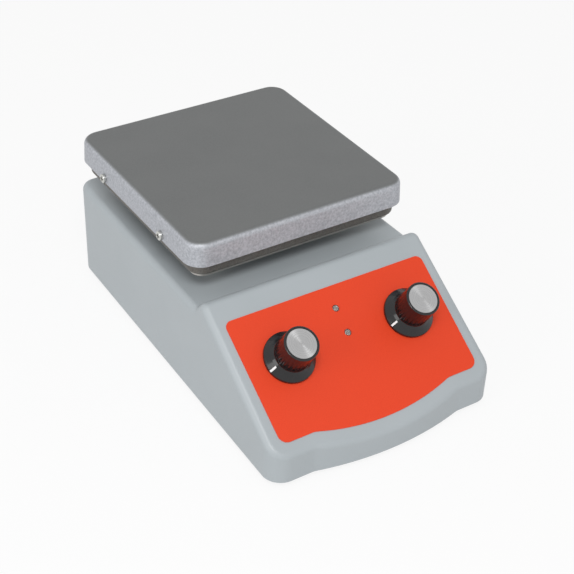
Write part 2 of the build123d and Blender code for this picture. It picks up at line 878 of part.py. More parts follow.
def pointer_bar():
    """Block that bounds the pointer, laid along the skirt's slope."""
    rise = knob_shoulder_height - knob_skirt_rim
    run = knob_skirt_radius - knob_shoulder_radius
    tilt = degrees(atan2(rise, run))
    length = sqrt(rise ** 2 + run ** 2)
    bar = Box(length, pointer_width, 2 * pointer_depth, align=(Align.MIN, Align.CENTER, Align.CENTER))
    return Pos(pointer_inner_radius, 0, knob_shoulder_height) * Rot(0, tilt, 0) * bar


def knob_pointer():
    return knob_form() & pointer_bar()


def knob_screw():
    """Headless screw in the side of the grip, opposite the pointer."""
    length = knob_grip_radius - knob_flute_depth - pot_shaft_radius + knob_flat_depth - knob_top_round
    blank = rod(knob_screw_radius, length)
    socket = hexagon_rod(knob_screw_radius, length / 2)
    start = pot_shaft_radius - knob_flat_depth
    return Pos(-start, 0, knob_screw_height) * Rot(0, -90, 0) * (blank - Pos(0, 0, length / 2) * socket)


def knob_body():
    body = knob_form() - pointer_bar()
    flute = rod(knob_flute_radius, knob_height)
    for step in range(knob_flutes):
        turn = Rot(0, 0, (step + 0.5) * 360 / knob_flutes)
        reach = knob_grip_radius - knob_flute_depth + knob_flute_radius
        body -= turn * Pos(reach, 0, knob_grip_start + knob_flute_radius) * flute
    seat = knob_cap_thickness + knob_cap_recess
    body -= Pos(0, 0, knob_height - seat) * rod(knob_cap_radius + knob_cap_gap, seat + cut_over)
    body -= Pos(0, 0, -cut_over) * rod(knob_recess_radius, knob_recess_depth + cut_over)
    bore = rod(pot_shaft_radius + seat_gap, knob_shaft_end + seat_gap)
    body -= bore
    start = pot_shaft_radius - knob_flat_depth
    hole = rod(knob_screw_radius + thread_gap, knob_skirt_radius)
    return body - Pos(-start, 0, knob_screw_height) * Rot(0, -90, 0) * hole


def knob_cap():
    """Spun metal disc set in the knob's top."""
    disc = rod(knob_cap_radius, knob_cap_thickness)
    disc = chamfer(disc.edges().group_by(Axis.Z)[-1], knob_cap_recess)
    return Pos(0, 0, knob_height - knob_cap_recess - knob_cap_thickness) * disc


def on_knob(side, piece):
    return knob_frame(side) * Pos(0, 0, knob_base) * piece


# Motor and magnet rotor

def on_axis(z, piece):
    return head_place * Pos(0, 0, z) * piece


def motor_can():
    can = rod(motor_radius, motor_length)
    can = fillet(can.edges().group_by(Axis.Z)[-1], motor_wall)
    can -= Pos(0, 0, -cut_over) * rod(motor_radius - motor_wall, motor_length - motor_wall + cut_over)
    bearing = Pos(0, 0, motor_length - motor_bush_length)
    can += bearing * rod(motor_bush_radius + motor_wall, motor_bush_length)
    can -= bearing * rod(motor_bush_radius, motor_bush_length)
    for side in (-1, 1):
        hole = rod(small_screw[0] + thread_gap, motor_wall + cut_over)
        can -= Pos(side * motor_screw_spacing / 2, 0, motor_length - motor_wall - seat_gap) * hole
    return on_axis(motor_bottom_z, can)


def motor_end_cap():
    """Moulded cap in the open end of the can, with a bearing boss and two connecting tabs."""
    cap = rod(motor_radius - motor_wall, motor_cap_thickness)
    cap += rod(motor_bush_radius + motor_wall, motor_bush_length)
    cap -= rod(motor_bush_radius, motor_bush_length)
    for side in (-1, 1):
        tab = slab(blade_tail_thickness, blade_tail_width / 2, 2 * motor_cap_thickness)
        cap += Pos(side * (motor_radius - motor_cap_thickness * 2), 0, -motor_cap_thickness) * tab
    return on_axis(motor_bottom_z, cap)


def motor_bushes():
    bush = rod(motor_bush_radius, motor_bush_length)
    bush -= rod(motor_shaft_radius + bearing_gap, motor_bush_length)
    return group(on_axis(z, bush) for z in (motor_bottom_z, motor_top_z - motor_bush_length))


field_magnet_z = motor_bottom_z + (motor_length - field_magnet_length) / 2


def field_magnets():
    """Two curved magnets against the can's wall."""
    outer = motor_radius - motor_wall
    ring = rod(outer, field_magnet_length) - rod(outer - field_magnet_thickness, field_magnet_length)
    span = radians(field_magnet_angle / 2)
    far_x = 2 * outer * cos(span)
    far_y = 2 * outer * sin(span)
    wedge = make_face(Polyline((0, 0), (far_x, -far_y), (2 * outer, 0), (far_x, far_y), close=True))
    magnet = ring & extrude(wedge, amount=field_magnet_length)
    return group(on_axis(field_magnet_z, Rot(0, 0, turn) * magnet) for turn in (0, 180))


armature_radius = motor_radius - motor_wall - field_magnet_thickness - armature_gap


def motor_armature():
    """Laminated core with slots, held on the shaft."""
    core = rod(armature_radius, armature_length) - rod(motor_shaft_radius + seat_gap, armature_length)
    for step in range(armature_slots):
        reach = armature_radius - armature_hub_radius
        slot = Box(reach, armature_slot_width, armature_length, align=(Align.MIN, Align.CENTER, Align.MIN))
        core -= Rot(0, 0, step * 360 / armature_slots) * Pos(armature_hub_radius, 0, 0) * slot
    return on_axis(motor_bottom_z + (motor_length - armature_length) / 2, core)


rotor_z = shield_z - rotor_top_gap - drive_magnet_height - rotor_thickness + drive_magnet_cup


def motor_shaft():
    top = rotor_z + rotor_thickness - drive_magnet_cup
    bottom = motor_bottom_z
    return on_axis(bottom, rod(motor_shaft_radius, top - bottom))


def magnet_holder():
    """Rotor disc with a hub below, two shallow seats for the magnets and two holes that lighten it."""
    disc = rod(rotor_radius, rotor_thickness)
    disc += Pos(0, 0, -rotor_hub_length) * rod(rotor_hub_radius, rotor_hub_length)
    bore = drill(motor_shaft_radius + seat_gap, rotor_hub_length + rotor_thickness)
    disc -= Pos(0, 0, -rotor_hub_length) * bore
    for side in (-1, 1):
        seat = rod(drive_magnet_radius + thread_gap, drive_magnet_cup)
        disc -= Pos(side * drive_magnet_spacing / 2, 0, rotor_thickness - drive_magnet_cup) * seat
        disc -= Pos(0, side * drive_magnet_spacing / 2, 0) * rod(rotor_lightening_radius, rotor_thickness)
    hole = rod(hub_screw_radius + thread_gap, rotor_hub_radius)
    disc -= Pos(0, 0, -hub_screw_drop) * Rot(0, 90, 0) * hole
    return on_axis(rotor_z, disc)


def drive_magnets():
    magnet = rod(drive_magnet_radius, drive_magnet_height)
    lift = rotor_z + rotor_thickness - drive_magnet_cup
    places = [Pos(side * drive_magnet_spacing / 2, 0, 0) for side in (-1, 1)]
    return group(on_axis(lift, place * magnet) for place in places)


def hub_screw():
    length = rotor_hub_radius - motor_shaft_radius
    blank = rod(hub_screw_radius, length) - Pos(0, 0, length / 2) * hexagon_rod(hub_screw_radius, length)
    return on_axis(rotor_z - hub_screw_drop, Pos(motor_shaft_radius, 0, 0) * Rot(0, 90, 0) * blank)


def motor_bracket():
    """Folded sheet hung from the deck's bosses, with flanges turned down along its long edges."""
    channel = slab(bracket_length, bracket_width, bracket_flange + bracket_thickness)
    channel = fillet(channel.edges().filter_by(Axis.X).group_by(Axis.Z)[-1], bracket_bend_radius)
    channel -= slab(bracket_length, bracket_width - 2 * bracket_thickness, bracket_flange)
    bracket = Pos(0, 0, -bracket_flange) * channel
    bracket -= drill(rotor_hub_radius + cut_over, bracket_thickness)
    hole = drill(small_screw[0] + screw_gap, bracket_thickness)
    for side in (-1, 1):
        bracket -= Pos(side * motor_screw_spacing / 2, 0, 0) * hole
    for place in corners(bracket_screw_spacing_x, bracket_screw_spacing_y):
        bracket -= place * hole
    return on_axis(motor_top_z, bracket)


def motor_screws():
    """Two screws hold the motor to the bracket, four hold the bracket to the deck's bosses."""
    fastener = screw(board_screw, bracket_thickness + motor_wall)
    down = [Pos(side * motor_screw_spacing / 2, 0, bracket_top_z) * fastener for side in (-1, 1)]
    upward = Rot(180, 0, 0) * screw(board_screw, motor_screw_length)
    bosses = corners(bracket_screw_spacing_x, bracket_screw_spacing_y)
    up = [place * Pos(0, 0, motor_top_z) * upward for place in bosses]
    return group(head_place * piece for piece in down + up)


# Power board

power_board_z = cover_top_z + power_board_rise
power_place = Pos(-power_board_from_centre, plate_y, 0)


def power_spacer_places():
    across = power_board_width - 2 * spacer_inset
    along = power_board_length - 2 * spacer_inset
    return [power_place * place for place in corners(across, along)]


def board_spacers():
    spacer = rod(spacer_radius, power_board_rise) - rod(small_screw[0] + thread_gap, power_board_rise)
    return group(place * Pos(0, 0, cover_top_z) * spacer for place in power_spacer_places())


def power_board():
    board = power_place * slab(power_board_width, power_board_length, board_thickness)
    for place in power_spacer_places():
        board -= place * drill(small_screw[0] + screw_gap, board_thickness)
    return Pos(0, 0, power_board_z) * board


power_top_z = power_board_z + board_thickness
transformer_y = power_board_length / 2 - 2 * spacer_inset - transformer_length / 2
heat_sink_y = -power_board_length / 2 + 2 * spacer_inset + heat_sink_length / 2


def transformer_core():
    """Laminated frame with two windows that the coil fills."""
    core = slab(transformer_width, transformer_length, transformer_height)
    for side in (-1, 1):
        window = Box(transformer_width, transformer_window, transformer_height - 2 * transformer_window)
        core -= Pos(0, side * transformer_length / 4, transformer_height / 2) * window
    return power_place * Pos(0, transformer_y, power_top_z) * core


def transformer_coil():
    """Coil on the core's middle limb."""
    limb = transformer_length / 2 - transformer_window
    across = transformer_width + 2 * transformer_coil_proud
    tall = transformer_height - 2 * transformer_window
    coil = Box(across, limb + 2 * transformer_window, tall) - Box(transformer_width, limb, tall)
    sleeve = Box(across, limb, tall) - Box(transformer_width, limb, tall)
    return power_place * Pos(0, transformer_y, power_top_z + transformer_height / 2) * (coil + sleeve)


def heat_sink():
    """Finned plate that stands on the board and cools the power switch."""
    sink = slab(heat_sink_base, heat_sink_length, heat_sink_height)
    pitch = (heat_sink_length - heat_sink_fin) / (heat_sink_fins - 1)
    for step in range(heat_sink_fins):
        y = (heat_sink_fin - heat_sink_length) / 2 + step * pitch
        fin = slab(heat_sink_fin_reach, heat_sink_fin, heat_sink_height)
        sink += Pos((heat_sink_base + heat_sink_fin_reach) / 2, y, 0) * fin
    return power_place * Pos(0, heat_sink_y, power_top_z) * sink


def board_parts():
    """Chips and a connector under the control board, and two can capacitors on the power board."""
    under = -board_depth - board_thickness
    row = control_board_low_edge + control_board_length / 2
    chip = slab(chip_length, chip_width, chip_height)
    plug = slab(connector_width, connector_depth, connector_height)
    parts = []
    for step in (-2, 0, 2):
        parts.append(panel_plane * Pos(step * chip_length, row, under - chip_height) * chip)
    plug_row = row + chip_width + connector_depth
    parts.append(panel_plane * Pos(0, plug_row, under - connector_height) * plug)
    can = rod(capacitor_radius, capacitor_height)
    can = fillet(can.edges().group_by(Axis.Z)[-1], small_round)
    middle = (transformer_y - transformer_length / 2 + heat_sink_y + heat_sink_length / 2) / 2
    for side in (-1, 1):
        parts.append(power_place * Pos(side * capacitor_pitch / 2, middle, power_top_z) * can)
    return group(parts)


# Mains inlet and fuse drawer

def socket_outline():
    """Six-sided socket opening, its two upper corners cut off."""
    face = Rectangle(socket_width, socket_height)
    return chamfer(face.vertices().group_by(Axis.Y)[-1], socket_chamfer)


def inlet_body():
    flange = RectangleRounded(inlet_flange_width, inlet_flange_height, inlet_flange_corner)
    flange = extrude(flange, amount=inlet_flange_thickness)
    flange = fillet(flange.faces().sort_by(Axis.Z)[-1].edges(), small_round)
    rear = slab(inlet_body_width, inlet_body_height, inlet_body_depth)
    body = flange + Pos(0, 0, -inlet_body_depth) * rear
    mouth = extrude(socket_outline(), amount=socket_depth)
    body -= Pos(0, socket_rise, inlet_flange_thickness - socket_depth) * mouth
    slot_depth = drawer_depth + drawer_gap
    slot = slab(drawer_width + 2 * drawer_gap, drawer_height + 2 * drawer_gap, slot_depth)
    body -= Pos(0, -drawer_drop, inlet_flange_thickness - slot_depth) * slot
    for x, y in blade_places():
        blade = Box(blade_width, blade_height, inlet_body_depth)
        body -= Pos(x, y, -inlet_body_depth / 2) * blade
    hole = drill(small_screw[0] + screw_gap, inlet_flange_thickness)
    seat = Cone(small_screw[0] + screw_gap, board_screw[1] + screw_gap, board_screw[2], align=STAND)
    for side in (-1, 1):
        place = Pos(side * inlet_screw_spacing / 2, 0, 0)
        body -= place * hole
        body -= place * Pos(0, 0, inlet_flange_thickness - board_screw[2]) * seat
    return rear_plane * body


def blade_places():
    """Live, neutral and earth blades; the earth blade sits towards the cut corners."""
    row = socket_rise - blade_offset / 2
    return [(-blade_spacing / 2, row), (blade_spacing / 2, row), (0, row + blade_offset)]


def inlet_blades():
    """Brass blades: a contact in the socket and a thin connecting tail behind the body."""
    blades = []
    floor = inlet_flange_thickness - socket_depth
    for x, y in blade_places():
        tip = floor + blade_length
        blade = slab(blade_width, blade_height, tip + inlet_body_depth)
        blade = chamfer(blade.edges().group_by(Axis.Z)[-1], blade_tip_chamfer)
        tail = slab(blade_tail_thickness, blade_tail_width, blade_tail_length)
        piece = Pos(0, 0, -inlet_body_depth) * blade + Pos(0, 0, -inlet_body_depth - blade_tail_length) * tail
        blades.append(rear_plane * Pos(x, y, 0) * piece)
    return group(blades)


def inlet_screws():
    """Countersunk screws into the rear wall."""
    shank_radius, head_radius, head_height = board_screw
    head = Cone(shank_radius, head_radius, head_height, align=STAND)
    shank = Pos(0, 0, -inlet_screw_length) * rod(shank_radius, inlet_screw_length + head_height)
    bar = slab(2 * head_radius * screw_recess_share, screw_recess_width, screw_recess_depth)
    cross = Pos(0, 0, head_height - screw_recess_depth) * (bar + Rot(0, 0, 90) * bar)
    fastener = head + shank - cross
    lift = inlet_flange_thickness - head_height
    return group(rear_plane * Pos(side * inlet_screw_spacing / 2, 0, lift) * fastener for side in (-1, 1))


drawer_back = inlet_flange_thickness - drawer_depth
fuse_z = drawer_back + drawer_wall + fuse_radius + drawer_gap


def fuse_drawer():
    """Sliding tray: a face with a finger notch, and a bay open at the top for the fuse."""
    drawer = Pos(0, 0, drawer_back) * slab(drawer_width, drawer_height, drawer_depth + drawer_lip)
    drawer = fillet(drawer.faces().sort_by(Axis.Z)[-1].edges(), small_round)
    bay = slab(drawer_width - 2 * drawer_wall, drawer_height, drawer_depth - drawer_face - drawer_wall)
    drawer -= Pos(0, drawer_wall, drawer_back + drawer_wall) * bay
    notch = Rot(0, 90, 0) * Cylinder(drawer_notch_radius, drawer_width / 3)
    return on_drawer(drawer - Pos(0, drawer_height / 2, inlet_flange_thickness + drawer_lip) * notch)


def on_drawer(piece):
    return rear_plane * Pos(0, -drawer_drop, 0) * piece


fuse_place = Pos(-fuse_length / 2, drawer_wall - drawer_height / 2 + fuse_radius, fuse_z) * Rot(0, 90, 0)


def fuse_glass():
    tube = Pos(0, 0, fuse_cap_length) * rod(fuse_glass_radius, fuse_length - 2 * fuse_cap_length)
    return on_drawer(fuse_place * tube)


def fuse_caps():
    cap = rod(fuse_radius, fuse_cap_length)
    return group(on_drawer(fuse_place * Pos(0, 0, z) * cap) for z in (0, fuse_length - fuse_cap_length))


# Every node of the assembly, by name

nodes = {
    "top_plate": top_plate(),
    "plate_side_screws": plate_side_screws(),
    "mica_sheets": mica_sheets(),
    "heater_foil": heater_foil(),
    "clamp_plate": clamp_plate(),
    "clamp_screws": clamp_screws(),
    "thermal_cutout": thermal_cutout(),
    "insulation_pad": insulation_pad(),
    "heater_pan": heater_pan(),
    "shield_plate": shield_plate(),
    "standoffs": standoffs(),
    "standoff_screws": standoff_screws(),
    "standoff_nuts": standoff_nuts(),
    "lead_sleeve": lead_sleeve(),
    "casing_shell": casing_shell(),
    "base_cover": base_cover(),
    "base_screws": base_screws(),
    "rubber_feet": rubber_feet(),
    "foot_screws": foot_screws(),
    "panel_overlay": panel_overlay(),
    "power_led": led(led_upper_row),
    "heat_led": led(led_lower_row),
    "control_board": control_board(),
    "board_screws": board_screws(),
    "potentiometers": potentiometers(),
    "pot_nuts": pot_nuts(),
    "motor_can": motor_can(),
    "motor_end_cap": motor_end_cap(),
    "motor_bushes": motor_bushes(),
    "field_magnets": field_magnets(),
    "motor_armature": motor_armature(),
    "motor_shaft": motor_shaft(),
    "motor_bracket": motor_bracket(),
    "motor_screws": motor_screws(),
    "magnet_holder": magnet_holder(),
    "drive_magnets": drive_magnets(),
    "hub_screw": hub_screw(),
    "board_spacers": board_spacers(),
    "power_board": power_board(),
    "transformer_core": transformer_core(),
    "transformer_coil": transformer_coil(),
    "heat_sink": heat_sink(),
    "board_parts": board_parts(),
    "inlet_body": inlet_body(),
    "inlet_blades": inlet_blades(),
    "inlet_screws": inlet_screws(),
    "fuse_drawer": fuse_drawer(),
    "fuse_glass": fuse_glass(),
    "fuse_caps": fuse_caps(),
}
for knob_name, knob_side in (("stir_knob", -1), ("heat_knob", 1)):
    nodes[knob_name] = on_knob(knob_side, knob_body())
    nodes[knob_name + "_cap"] = on_knob(knob_side, knob_cap())
    nodes[knob_name + "_pointer"] = on_knob(knob_side, knob_pointer())
    nodes[knob_name + "_screw"] = on_knob(knob_side, knob_screw())
    nodes[knob_name + "_shaft"] = knob_frame(knob_side) * knob_shaft()

for node_name, shape in nodes.items():
    export_step(shape, "parts/" + node_name + ".step")
    print(node_name, "solids", len(shape.solids()))
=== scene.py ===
import json
import math

import bpy
from mathutils import Matrix, Vector


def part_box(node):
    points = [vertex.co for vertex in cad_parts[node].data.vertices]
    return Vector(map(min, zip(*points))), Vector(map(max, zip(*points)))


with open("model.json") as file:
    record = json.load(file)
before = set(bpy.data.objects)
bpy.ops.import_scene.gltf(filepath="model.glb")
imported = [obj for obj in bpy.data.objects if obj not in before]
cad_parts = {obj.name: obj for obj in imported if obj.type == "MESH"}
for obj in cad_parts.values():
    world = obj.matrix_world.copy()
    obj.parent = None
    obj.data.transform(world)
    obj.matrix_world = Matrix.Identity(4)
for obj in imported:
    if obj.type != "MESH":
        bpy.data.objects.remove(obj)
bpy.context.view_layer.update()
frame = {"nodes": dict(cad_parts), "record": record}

MM = 0.001
nodes = frame["nodes"]

# Camera, aimed at a point given from the middle of the plate's top
CAMERA_AIM = Vector((-0.02378, -0.0828, -0.0200))
CAMERA_AZIMUTH = math.radians(-33.69)
CAMERA_ELEVATION = math.radians(35.63)
CAMERA_ROLL = math.radians(2.18)
CAMERA_DISTANCE = 0.60443
CAMERA_LENS = 82.76
CAMERA_SENSOR = 36

# Light
AMBIENT = 0.52
KEY_AZIMUTH = math.radians(-32)
KEY_ELEVATION = math.radians(52)
KEY_DISTANCE = 1.3
KEY_SIZE = 0.42
KEY_POWER = 8.0
FILL_AZIMUTH = math.radians(-78)
FILL_ELEVATION = math.radians(22)
FILL_DISTANCE = 1.2
FILL_SIZE = 0.6
FILL_POWER = 2.5

# Floor
FLOOR_SIZE = 6.0
FLOOR_COLOUR = (0.86, 0.86, 0.86)
FLOOR_ROUGHNESS = 0.9
FLOOR_WHITE_SHARE = 0.86

# Slope of the control panel, to which the knobs stand square
PANEL_SLOPE = math.radians(33.4)

# Most of a noise texture's values lie between these two
NOISE_LOW = 0.3
NOISE_HIGH = 0.7

plate_low, plate_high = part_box("top_plate")
plate_middle = (plate_low + plate_high) / 2
camera_target = Vector((plate_middle.x, plate_middle.y, plate_high.z)) + CAMERA_AIM


def toward(azimuth, elevation):
    """Unit vector from the object to a point seen at this azimuth and elevation."""
    flat = math.cos(elevation)
    return Vector((math.sin(azimuth) * flat, -math.cos(azimuth) * flat, math.sin(elevation)))


def link(obj):
    bpy.context.scene.collection.objects.link(obj)
    return obj


# Camera and stage

def make_camera():
    back = toward(CAMERA_AZIMUTH, CAMERA_ELEVATION)
    right = Vector((0, 0, 1)).cross(back).normalized()
    up = back.cross(right)
    turned_right = right * math.cos(CAMERA_ROLL) + up * math.sin(CAMERA_ROLL)
    turned_up = up * math.cos(CAMERA_ROLL) - right * math.sin(CAMERA_ROLL)
    data = bpy.data.cameras.new("camera")
    data.lens = CAMERA_LENS
    data.sensor_width = CAMERA_SENSOR
    camera = link(bpy.data.objects.new("camera", data))
    turn = Matrix((turned_right, turned_up, back)).transposed()
    place = Matrix.Translation(camera_target + back * CAMERA_DISTANCE)
    camera.matrix_world = place @ turn.to_4x4()
    bpy.context.scene.camera = camera


def area_light(name, azimuth, elevation, distance, size, power):
    data = bpy.data.lights.new(name, "AREA")
    data.shape = "DISK"
    data.size = size
    data.energy = power
    lamp = link(bpy.data.objects.new(name, data))
    direction = toward(azimuth, elevation)
    lamp.location = camera_target + direction * distance
    lamp.rotation_mode = "QUATERNION"
    lamp.rotation_quaternion = direction.to_track_quat("Z", "Y")


def seen_directly(tree):
    """1 for rays from the camera, a mirror or glass, and 0 for the rays that light the object."""
    path = tree.nodes.new("ShaderNodeLightPath")
    total = path.outputs["Is Camera Ray"]
    for name in ("Is Glossy Ray", "Is Transmission Ray"):
        larger = tree.nodes.new("ShaderNodeMath")
        larger.operation = "MAXIMUM"
        tree.links.new(total, larger.inputs[0])
        tree.links.new(path.outputs[name], larger.inputs[1])
        total = larger.outputs[0]
    return total


def make_world():
    world = bpy.data.worlds.new("studio")
    bpy.context.scene.world = world
    world.use_nodes = True
    tree = world.node_tree
    light = tree.nodes["Background"]
    light.inputs["Color"].default_value = (1, 1, 1, 1)
    light.inputs["Strength"].default_value = AMBIENT
    white = tree.nodes.new("ShaderNodeBackground")
    white.inputs["Color"].default_value = (1, 1, 1, 1)
    mix = tree.nodes.new("ShaderNodeMixShader")
    tree.links.new(seen_directly(tree), mix.inputs[0])
    tree.links.new(light.outputs[0], mix.inputs[1])
    tree.links.new(white.outputs[0], mix.inputs[2])
    tree.links.new(mix.outputs[0], tree.nodes["World Output"].inputs["Surface"])


def make_floor():
    half = FLOOR_SIZE / 2
    mesh = bpy.data.meshes.new("floor")
    corners = [(-half, -half, 0), (half, -half, 0), (half, half, 0), (-half, half, 0)]
    mesh.from_pydata(corners, [], [(0, 1, 2, 3)])
    floor = link(bpy.data.objects.new("floor", mesh))
    material = bpy.data.materials.new("pale_floor")
    material.use_nodes = True
    tree = material.node_tree
    shader = tree.nodes["Principled BSDF"]
    shader.inputs["Base Color"].default_value = (*FLOOR_COLOUR, 1)
    shader.inputs["Roughness"].default_value = FLOOR_ROUGHNESS
    shader.inputs["Specular IOR Level"].default_value = 0.0
    white = tree.nodes.new("ShaderNodeEmission")
    share = tree.nodes.new("ShaderNodeMath")
    share.operation = "MULTIPLY"
    share.inputs[1].default_value = FLOOR_WHITE_SHARE
    tree.links.new(seen_directly(tree), share.inputs[0])
    mix = tree.nodes.new("ShaderNodeMixShader")
    tree.links.new(share.outputs[0], mix.inputs[0])
    tree.links.new(shader.outputs[0], mix.inputs[1])
    tree.links.new(white.outputs[0], mix.inputs[2])
    tree.links.new(mix.outputs[0], tree.nodes["Material Output"].inputs["Surface"])
    mesh.materials.append(material)


# Node graph of a material

class Finish:
    """One material, with short calls that add its texture nodes and link them."""

    def __init__(self, name, roughness=0.5, metallic=0.0, **constants):
        self.material = bpy.data.materials.new(name)
        self.material.use_nodes = True
        self.tree = self.material.node_tree
        self.shader = self.tree.nodes["Principled BSDF"]
        self.place = self.add("ShaderNodeTexCoord").outputs["Object"]
        self.normal = None
        self.set("Roughness", roughness)
        self.set("Metallic", metallic)
        for key, value in constants.items():
            self.set(key.replace("_", " "), value)

    def add(self, kind, **settings):
        node = self.tree.nodes.new(kind)
        for key, value in settings.items():
            setattr(node, key, value)
        return node

    def feed(self, socket, value):
        if isinstance(value, bpy.types.NodeSocket):
            self.tree.links.new(value, socket)
        elif isinstance(value, tuple) and len(value) == 3 and socket.type == "RGBA":
            socket.default_value = (*value, 1)
        else:
            socket.default_value = value

    def set(self, name, value):
        self.feed(self.shader.inputs[name], value)

    def math(self, operation, first, second=0.0, clamp=False):
        node = self.add("ShaderNodeMath", operation=operation, use_clamp=clamp)
        self.feed(node.inputs[0], first)
        self.feed(node.inputs[1], second)
        return node.outputs[0]

    def vector(self, operation, first, second=None, scale=None):
        node = self.add("ShaderNodeVectorMath", operation=operation)
        self.feed(node.inputs[0], first)
        if second is not None:
            self.feed(node.inputs[1], second)
        if scale is not None:
            self.feed(node.inputs["Scale"], scale)
        gives_number = operation in ("DOT_PRODUCT", "LENGTH")
        return node.outputs["Value" if gives_number else "Vector"]

    def noise(self, grain, detail=2.0, roughness=0.5, place=None, stretch=None):
        """Noise whose blobs are about one grain across; stretch lengthens them along each axis."""
        spot = self.place if place is None else place
        if stretch is not None:
            spot = self.vector("DIVIDE", spot, stretch)
        node = self.add("ShaderNodeTexNoise")
        self.feed(node.inputs["Vector"], spot)
        self.feed(node.inputs["Scale"], 1 / grain)
        self.feed(node.inputs["Detail"], detail)
        self.feed(node.inputs["Roughness"], roughness)
        return node.outputs["Fac"]

    def span(self, value, low, high, start=0.0, end=1.0, smooth=False):
        """Value from low to high is carried to start to end, and held beyond."""
        kind = "SMOOTHSTEP" if smooth else "LINEAR"
        node = self.add("ShaderNodeMapRange", interpolation_type=kind)
        self.feed(node.inputs["Value"], value)
        self.feed(node.inputs["From Min"], low)
        self.feed(node.inputs["From Max"], high)
        self.feed(node.inputs["To Min"], start)
        self.feed(node.inputs["To Max"], end)
        return node.outputs["Result"]

    def fill(self, noise, start=0.0, end=1.0):
        """Noise carried over the whole way from start to end."""
        return self.span(noise, NOISE_LOW, NOISE_HIGH, start, end)

    def mix(self, share, first, second, blend="MIX"):
        node = self.add("ShaderNodeMix", data_type="RGBA", blend_type=blend)
        self.feed(node.inputs["Factor"], share)
        self.feed(node.inputs[6], first)
        self.feed(node.inputs[7], second)
        return node.outputs[2]

    def bump(self, height, depth, strength=1.0):
        """Relief of this depth in metres, laid over the relief before it."""
        node = self.add("ShaderNodeBump")
        self.feed(node.inputs["Height"], height)
        self.feed(node.inputs["Distance"], depth)
        self.feed(node.inputs["Strength"], strength)
        if self.normal is not None:
            self.feed(node.inputs["Normal"], self.normal)
        self.normal = node.outputs["Normal"]
        self.set("Normal", self.normal)

    def facing(self, direction):
        """How far the surface faces a fixed direction of the object, from -1 to 1."""
        geometry = self.add("ShaderNodeTexCoord").outputs["Normal"]
        return self.vector("DOT_PRODUCT", geometry, direction)


def shade(colour, factor):
    return tuple(min(1.0, channel * factor) for channel in colour)


# Finishes, one function each. The object's coordinates are the frame's, in metres.

def cast_plate():
    """Bead-blasted casting with a grey heat-proof coat; the top is painted darker as painted shade
    and the sides lighter as painted light.
    """
    finish = Finish("cast_plate", metallic=0.45, Specular_IOR_Level=0.4)
    # How far the surface faces up picks the painted-shade top over the painted-light sides; the
    # same share also weakens the relief on the top
    up = finish.span(finish.facing((0, 0, 1)), 0.55, 0.96, smooth=True)
    speckle = finish.noise(0.42 * MM, detail=3, roughness=0.65)
    pits = finish.noise(1.1 * MM, detail=2)
    cloud = finish.noise(24 * MM, detail=2)
    # Sides: painted light, a lighter grey with pitted grain and bright speckle
    lit_side = finish.mix(finish.span(pits, 0.32, 0.68), (0.30, 0.315, 0.345), (0.47, 0.485, 0.52))
    lit_side = finish.mix(finish.span(speckle, 0.35, 0.65, 0, 0.35), lit_side, (0.62, 0.63, 0.66))
    grain = finish.span(speckle, 0.30, 0.72)
    # Top: painted shade, a darker grey with a fine grain
    shaded_top = finish.mix(grain, (0.128, 0.133, 0.133), (0.178, 0.183, 0.182))
    shaded_top = finish.mix(finish.span(cloud, 0.35, 0.65, 0, 0.25), shaded_top, (0.175, 0.18, 0.178))
    finish.set("Base Color", finish.mix(up, lit_side, shaded_top))
    finish.set("Roughness", finish.fill(speckle, 0.44, 0.58))
    finish.bump(pits, 0.05 * MM, finish.span(up, 0, 1, 0.8, 0.25))
    finish.bump(speckle, 0.03 * MM, 0.5)
    return finish


def painted_casting():
    """Satin grey enamel on a die casting, with a fine orange-peel skin."""
    finish = Finish("painted_casting", Specular_IOR_Level=0.5)
    peel = finish.noise(1.6 * MM, detail=2)
    fine = finish.noise(0.5 * MM, detail=2)
    cloud = finish.noise(35 * MM, detail=2)
    colour = finish.mix(finish.fill(cloud), (0.392, 0.428, 0.448), (0.411, 0.447, 0.468))
    colour = finish.mix(finish.fill(fine, 0, 0.2), colour, (0.37, 0.41, 0.43))
    finish.set("Base Color", colour)
    finish.set("Roughness", finish.fill(fine, 0.36, 0.46))
    finish.bump(peel, 0.03 * MM, 0.35)
    finish.bump(fine, 0.01 * MM, 0.4)
    return finish


def overlay():
    """Orange-red printed film with a fine matt grain."""
    finish = Finish("overlay", Specular_IOR_Level=0.35)
    grain = finish.noise(0.35 * MM, detail=2)
    cloud = finish.noise(18 * MM, detail=1)
    colour = finish.mix(finish.fill(grain), (0.735, 0.046, 0.009), (0.80, 0.060, 0.013))
    colour = finish.mix(finish.fill(cloud, 0, 0.3), colour, (0.76, 0.056, 0.013))
    finish.set("Base Color", colour)
    finish.set("Roughness", finish.fill(grain, 0.46, 0.58))
    finish.bump(grain, 0.012 * MM, 0.5)
    return finish


def plain_metal(name, colour, roughness, grain=0.5 * MM, stretch=None):
    """Metal with a grain in its colour, roughness and relief; stretch makes brushing of it."""
    finish = Finish(name, metallic=1.0)
    mottle = finish.noise(grain, detail=3, roughness=0.6, stretch=stretch)
    cloud = finish.noise(14 * MM, detail=2)
    tone = finish.mix(finish.fill(mottle), shade(colour, 0.88), shade(colour, 1.12))
    finish.set("Base Color", finish.mix(finish.fill(cloud, 0, 0.35), tone, shade(colour, 0.82)))
    finish.set("Roughness", finish.fill(mottle, roughness * 0.85, roughness * 1.15))
    finish.bump(mottle, 0.01 * MM, 0.5)
    return finish


def moulded(name, colour, roughness, grain=0.4 * MM, depth=0.008 * MM):
    """Moulded plastic, rubber or ceramic with a light grain."""
    finish = Finish(name)
    fine = finish.noise(grain, detail=2)
    cloud = finish.noise(12 * MM, detail=2)
    tone = finish.mix(finish.fill(fine), shade(colour, 0.93), shade(colour, 1.07))
    finish.set("Base Color", finish.mix(finish.fill(cloud, 0, 0.3), tone, shade(colour, 1.1)))
    finish.set("Roughness", finish.fill(fine, roughness * 0.88, roughness * 1.12))
    finish.bump(fine, depth, 0.5)
    return finish


